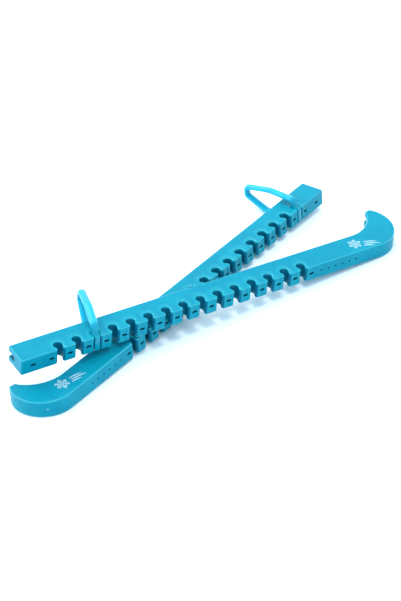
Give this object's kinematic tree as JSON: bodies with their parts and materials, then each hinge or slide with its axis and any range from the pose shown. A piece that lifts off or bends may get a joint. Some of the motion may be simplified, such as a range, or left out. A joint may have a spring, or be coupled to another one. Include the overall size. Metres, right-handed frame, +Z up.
{
  "type": "skate blade guards",
  "caption": "Crossed pair of soft guards for ice-skate blades, with a blade channel, keyhole tread notches, a toe hook and a rubber heel loop on each.",
  "frame": {"origin": "centre of the pair's footprint, on the ground it lies on", "axes": "+X along the lower guard from its toe to its heel, +Z up; the upper guard's toe points towards +X and -Y"},
  "size_m": [0.3518, 0.143, 0.0444],
  "materials": {
    "guard_plastic": "soft matte PVC, finely textured by the mould",
    "loop_rubber": "glossy, slightly translucent elastomer"
  },
  "bodies": {
    "lower": {"lower_guard": "guard_plastic", "lower_loop_foot": "loop_rubber"},
    "upper": {"upper_guard": "guard_plastic", "upper_loop_foot": "loop_rubber"},
    "lower_hoop": {"lower_loop_hoop": "loop_rubber"},
    "upper_hoop": {"upper_loop_hoop": "loop_rubber"}
  },
  "joints": [
    {"name": "upper_guard_lift", "type": "slide", "parent": "lower", "child": "upper", "axis": [0, 0, 1], "range_m": [0, 0.12]},
    {"name": "lower_hoop_swing", "type": "hinge", "parent": "lower", "child": "lower_hoop", "pos_m": [0.14259, 0.01793, 0.01146], "axis": [0.014, 0, -0.9999], "range_deg": [-54, 36], "stiffness_Nm_per_rad": 0.05},
    {"name": "upper_hoop_swing", "type": "hinge", "parent": "upper", "child": "upper_hoop", "pos_m": [-0.10283, 0.0278, 0.02785], "axis": [0.0337, -0.1244, 0.9917], "range_deg": [-22, 68], "stiffness_Nm_per_rad": 0.05}
  ]
}
